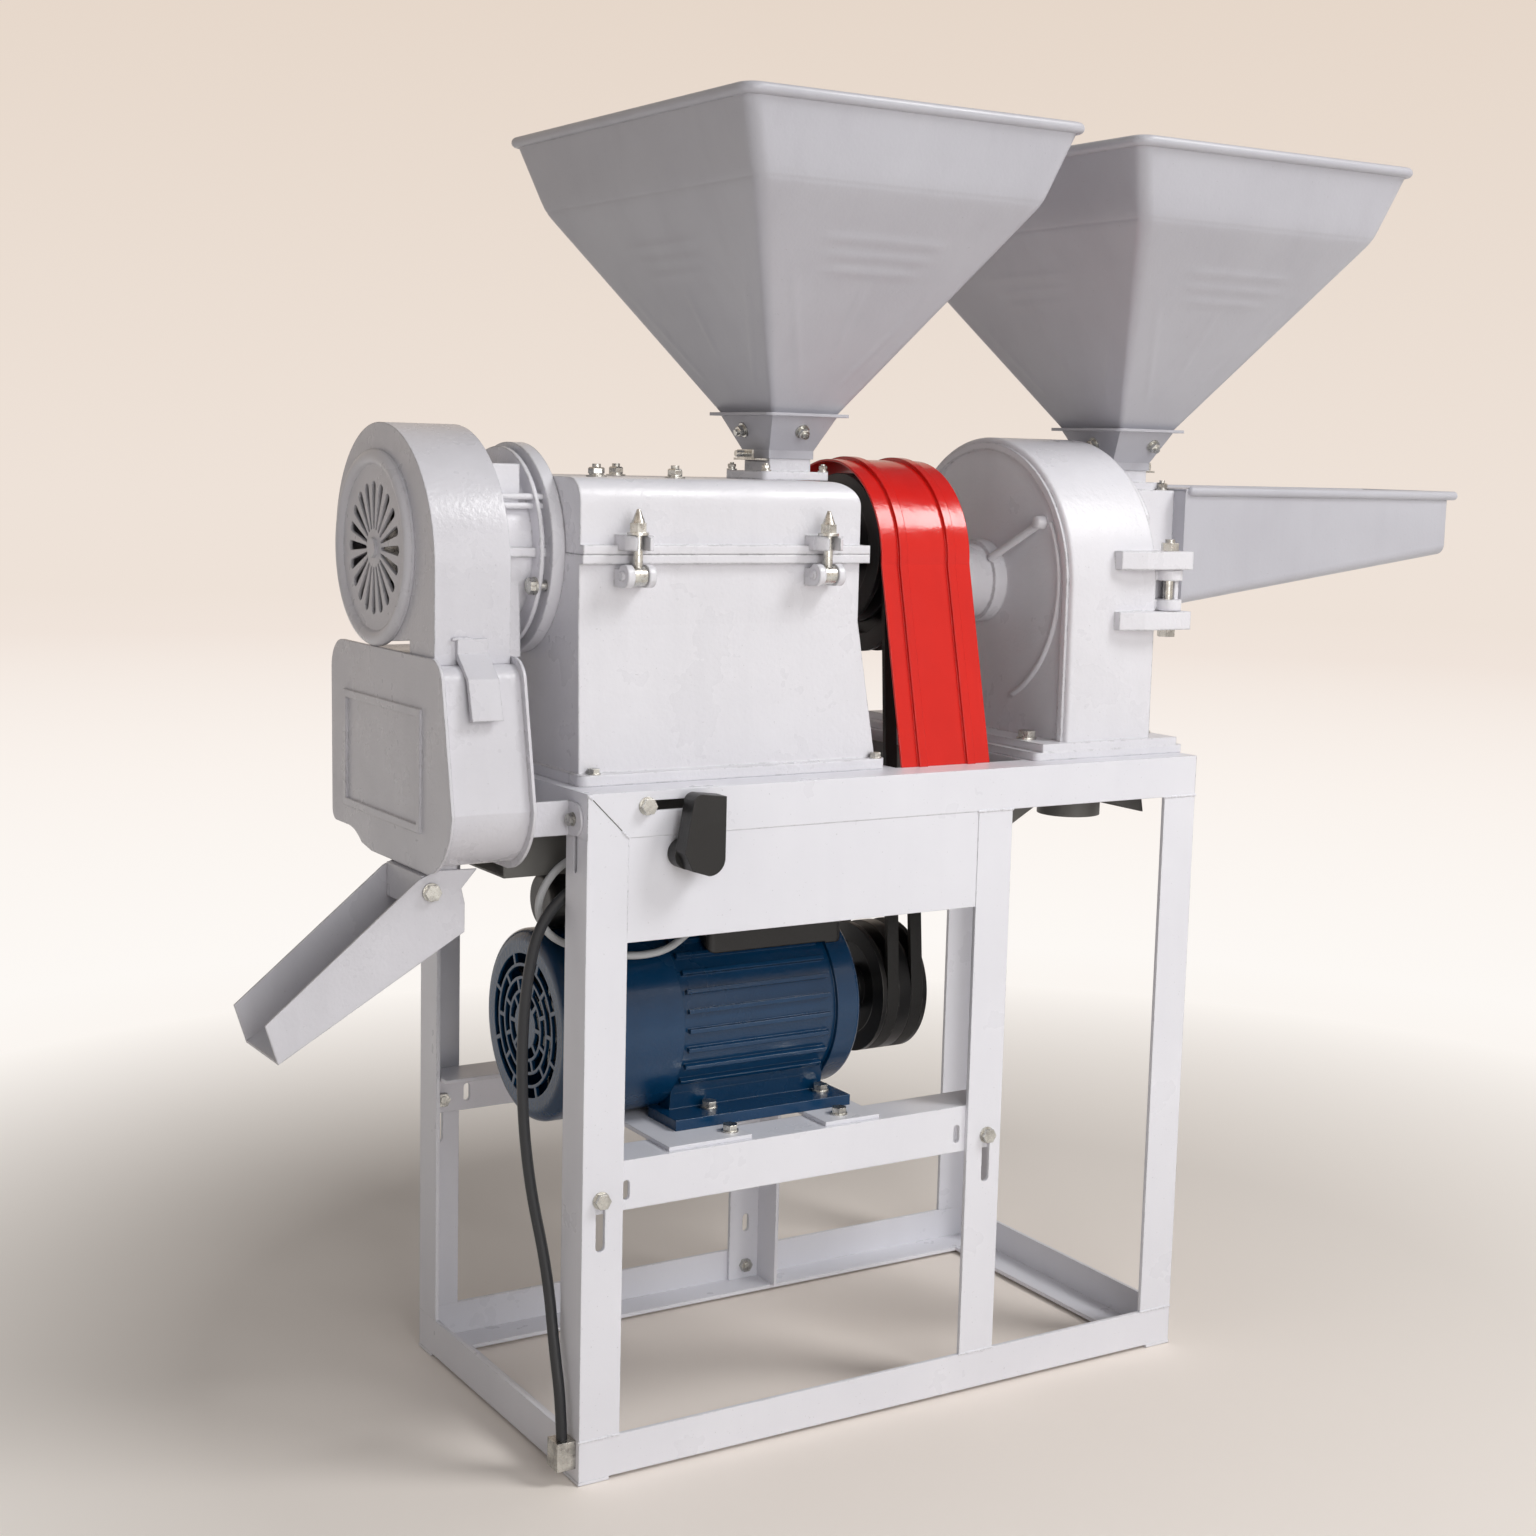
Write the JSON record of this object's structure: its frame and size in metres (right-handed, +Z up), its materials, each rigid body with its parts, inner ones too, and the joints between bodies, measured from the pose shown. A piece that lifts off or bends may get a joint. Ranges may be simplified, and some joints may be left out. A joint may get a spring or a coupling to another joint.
{
  "type": "combined rice huller and grinder",
  "caption": "Belt-driven rice huller with bran fan and separator beside a disc grinder, on an angle-iron stand with an electric motor below and square feed hoppers above.",
  "frame": {"origin": "centre of the machine's bounding box in plan, on the floor (cords left out)", "axes": "+X along the stand from the bran fan's side to the feed tray's side, +Y from the switch side to the back, +Z up"},
  "size_m": [1.424, 0.4664, 1.212],
  "materials": {
    "stand_paint": "smooth semi-gloss enamel",
    "casting_paint": "textured enamel over cast iron",
    "sheet_paint": "smooth semi-gloss enamel",
    "fan_paint": "hammered enamel",
    "guard_red": "glossy enamel",
    "motor_blue": "semi-gloss enamel",
    "pulley_black": "black paint",
    "bare_steel": "machined",
    "zinc_steel": "zinc plated",
    "dark_sheet": "dull grey",
    "belt_rubber": "matte",
    "cord_rubber": "satin",
    "lead_plastic": "satin",
    "black_plastic": "satin moulded"
  },
  "bodies": {
    "frame": {"base_ring": "stand_paint", "post_front_left": "stand_paint", "post_front_right": "stand_paint", "post_back_left": "stand_paint", "post_back_right": "stand_paint", "post_front_middle": "stand_paint", "post_back_middle": "stand_paint", "top_rail_front": "stand_paint", "top_rail_back": "stand_paint", "top_rail_left": "stand_paint", "top_rail_right": "stand_paint", "top_cross_members": "stand_paint", "front_panel": "stand_paint", "motor_rail_front": "stand_paint", "motor_rail_back": "stand_paint", "motor_cross_bars": "stand_paint", "huller_body": "casting_paint", "hinge_pins": "zinc_steel", "sieves": "bare_steel", "shaft_bearings": "bare_steel", "fan_housing": "fan_paint", "fan_grille": "fan_paint", "bearing_barrel": "casting_paint", "separator_box": "fan_paint", "separator_straps": "fan_paint", "bran_chute": "dark_sheet", "flour_outlet": "dark_sheet", "grinder_body": "casting_paint", "motor_body": "motor_blue", "motor_fan_cover": "motor_blue", "motor_terminal_box": "black_plastic", "drive_belts": "belt_rubber", "belt_guard": "guard_red", "switch_body": "black_plastic", "power_cord": "cord_rubber", "motor_lead": "lead_plastic", "stand_bolts": "zinc_steel"},
    "huller_cover": {"huller_cover": "casting_paint", "rice_neck": "casting_paint", "rice_funnel": "sheet_paint", "rice_hopper": "sheet_paint"},
    "rice_gate": {"rice_gate": "zinc_steel"},
    "huller_rotor": {"huller_shaft": "bare_steel", "huller_roller": "bare_steel", "huller_pulley": "pulley_black", "fan_impeller": "bare_steel"},
    "cover_clamp_left": {"cover_clamp_left": "zinc_steel"},
    "cover_clamp_right": {"cover_clamp_right": "zinc_steel"},
    "grinder_rotor": {"grinder_shaft": "bare_steel", "grinder_rotor": "bare_steel", "grinder_pulley": "pulley_black"},
    "grinder_door": {"grinder_door": "casting_paint", "grain_funnel": "sheet_paint", "grain_hopper": "sheet_paint", "feed_tray": "sheet_paint"},
    "grain_gate": {"grain_gate": "zinc_steel"},
    "motor_rotor": {"motor_rotor": "bare_steel", "motor_pulley": "pulley_black"},
    "switch_handle": {"switch_handle": "black_plastic"},
    "rice_chute": {"rice_chute": "fan_paint"}
  },
  "joints": [
    {"name": "motor_spin", "type": "hinge", "parent": "frame", "child": "motor_rotor", "pos_m": [-0.23, -0.04, 0.384], "axis": [1, 0, 0], "continuous": true},
    {"name": "huller_spin", "type": "hinge", "parent": "frame", "child": "huller_rotor", "pos_m": [-0.29, 0, 0.818], "axis": [1, 0, 0], "continuous": true},
    {"name": "grinder_spin", "type": "hinge", "parent": "frame", "child": "grinder_rotor", "pos_m": [0.05, 0, 0.785], "axis": [1, 0, 0], "continuous": true},
    {"name": "huller_cover_hinge", "type": "hinge", "parent": "frame", "child": "huller_cover", "pos_m": [-0.287, 0.138, 0.818], "axis": [-1, 0, 0], "range_deg": [0, 95]},
    {"name": "clamp_left_swing", "type": "hinge", "parent": "frame", "child": "cover_clamp_left", "pos_m": [-0.384, -0.139, 0.8], "axis": [1, 0, 0], "range_deg": [0, 100]},
    {"name": "clamp_right_swing", "type": "hinge", "parent": "frame", "child": "cover_clamp_right", "pos_m": [-0.188, -0.139, 0.8], "axis": [1, 0, 0], "range_deg": [0, 100]},
    {"name": "grinder_door_hinge", "type": "hinge", "parent": "frame", "child": "grinder_door", "pos_m": [0.218, -0.144, 0.783], "axis": [0, 0, -1], "range_deg": [0, 90]},
    {"name": "rice_gate_slide", "type": "slide", "parent": "huller_cover", "child": "rice_gate", "axis": [-1, 0, 0], "range_m": [0, 0.04]},
    {"name": "grain_gate_slide", "type": "slide", "parent": "grinder_door", "child": "grain_gate", "axis": [1, 0, 0], "range_m": [0, 0.04]},
    {"name": "switch_turn", "type": "hinge", "parent": "frame", "child": "switch_handle", "pos_m": [-0.359, -0.18, 0.562], "axis": [0, 1, 0], "range_deg": [-45, 45]},
    {"name": "chute_tilt", "type": "hinge", "parent": "frame", "child": "rice_chute", "pos_m": [-0.567, -0.08, 0.533], "axis": [0, 1, 0], "range_deg": [-5, 20]}
  ],
  "couplings": [
    {"joint": "huller_spin", "follows": "motor_spin", "ratio": 0.86957},
    {"joint": "grinder_spin", "follows": "motor_spin", "ratio": 0.92308}
  ]
}
